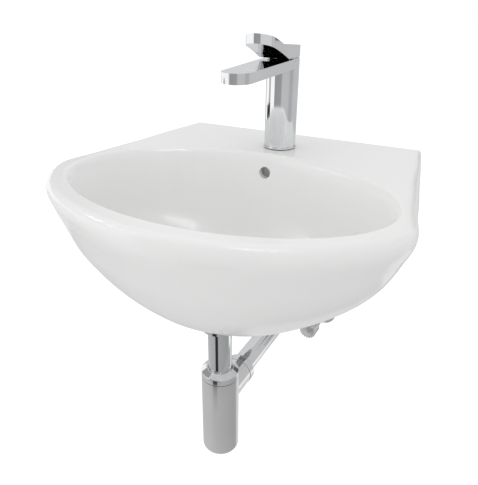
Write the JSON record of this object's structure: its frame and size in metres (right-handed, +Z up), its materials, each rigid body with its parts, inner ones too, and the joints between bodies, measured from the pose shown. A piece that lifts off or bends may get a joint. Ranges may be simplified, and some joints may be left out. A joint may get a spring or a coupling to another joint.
{
  "type": "wall-hung washbasin",
  "caption": "Wall-hung ceramic washbasin with an oval bowl and overflow, a lever mixer tap, a push plug, a chromed bottle trap and angle valves.",
  "frame": {"origin": "midway between the two wall studs, on the plane of the wall", "axes": "+Z up, +Y into the wall, +X to the right of someone who stands in front of the basin"},
  "size_m": [0.4515, 0.4704, 0.5599],
  "materials": {
    "glaze": "glossy white glaze",
    "polished_chrome": "mirror polished",
    "satin_chrome": "satin",
    "brass": "machined",
    "steel": "zinc plated",
    "rubber": "matt",
    "white_plastic": "moulded",
    "disc_ceramic": "ground"
  },
  "bodies": {
    "fixed_body": {"aerator_housing": "polished_chrome", "aerator_insert": "white_plastic", "basin": "glaze", "cartridge_body": "white_plastic", "cartridge_nut": "brass", "cartridge_seals": "rubber", "fixed_disc": "disc_ceramic", "left_valve_body": "satin_chrome", "left_valve_bonnet": "satin_chrome", "left_valve_olive": "brass", "left_valve_outlet_nut": "satin_chrome", "left_valve_rosette": "polished_chrome", "outlet_nut": "polished_chrome", "outlet_seal": "rubber", "plug_sleeve": "brass", "right_valve_body": "satin_chrome", "right_valve_bonnet": "satin_chrome", "right_valve_olive": "brass", "right_valve_outlet_nut": "satin_chrome", "right_valve_rosette": "polished_chrome", "stud_nuts": "steel", "stud_sleeves": "white_plastic", "stud_washers": "steel", "tap_base_gasket": "rubber", "tap_base_ring": "polished_chrome", "tap_body": "polished_chrome", "tap_clamp_gasket": "rubber", "tap_clamp_nut": "steel", "tap_clamp_plate": "steel", "tap_mounting_stud": "steel", "trap_bottle": "satin_chrome", "trap_coupling_nut": "polished_chrome", "trap_coupling_seal": "rubber", "trap_inlet_pipe": "polished_chrome", "trap_top_nut": "polished_chrome", "trap_top_seal": "rubber", "wall_rosette": "polished_chrome", "wall_studs": "steel", "wall_tube": "polished_chrome", "waste_back_nut": "brass", "waste_body": "polished_chrome", "waste_bottom_seal": "rubber", "waste_top_seal": "rubber"},
    "lever_carrier": {"stem_holder": "white_plastic", "stem_pin": "steel"},
    "lever_body": {"lever": "polished_chrome", "lever_stem": "steel", "lever_grub_screw": "steel"},
    "disc_body": {"moving_disc": "disc_ceramic"},
    "plug_body": {"plug_cap": "polished_chrome", "plug_seal": "rubber", "plug_stem": "brass"},
    "left_valve_handle": {"left_valve_spindle": "brass", "left_valve_knob": "satin_chrome"},
    "right_valve_handle": {"right_valve_spindle": "brass", "right_valve_knob": "satin_chrome"}
  },
  "joints": [
    {"name": "lever_swing", "type": "hinge", "parent": "fixed_body", "child": "lever_carrier", "pos_m": [0, -0.073, 0.195], "axis": [0, 0, 1], "range_deg": [-45, 45]},
    {"name": "lever_lift", "type": "hinge", "parent": "lever_carrier", "child": "lever_body", "pos_m": [0, -0.073, 0.1795], "axis": [-1, 0, 0], "range_deg": [0, 18]},
    {"name": "disc_slide", "type": "slide", "parent": "lever_carrier", "child": "disc_body", "axis": [0, -1, 0], "range_m": [0, 0.003]},
    {"name": "plug_push", "type": "slide", "parent": "fixed_body", "child": "plug_body", "axis": [0, 0, 1], "range_m": [-0.008, 0], "stiffness_N_per_m": 300, "springref_m": 0.01},
    {"name": "left_valve_turn", "type": "hinge", "parent": "fixed_body", "child": "left_valve_handle", "pos_m": [-0.061, -0.06, -0.222], "axis": [0, 1, 0], "range_deg": [0, 90]},
    {"name": "right_valve_turn", "type": "hinge", "parent": "fixed_body", "child": "right_valve_handle", "pos_m": [0.061, -0.06, -0.222], "axis": [0, 1, 0], "range_deg": [0, 90]}
  ],
  "couplings": [
    {"joint": "disc_slide", "follows": "lever_lift", "m_per_rad": 0.0095}
  ]
}
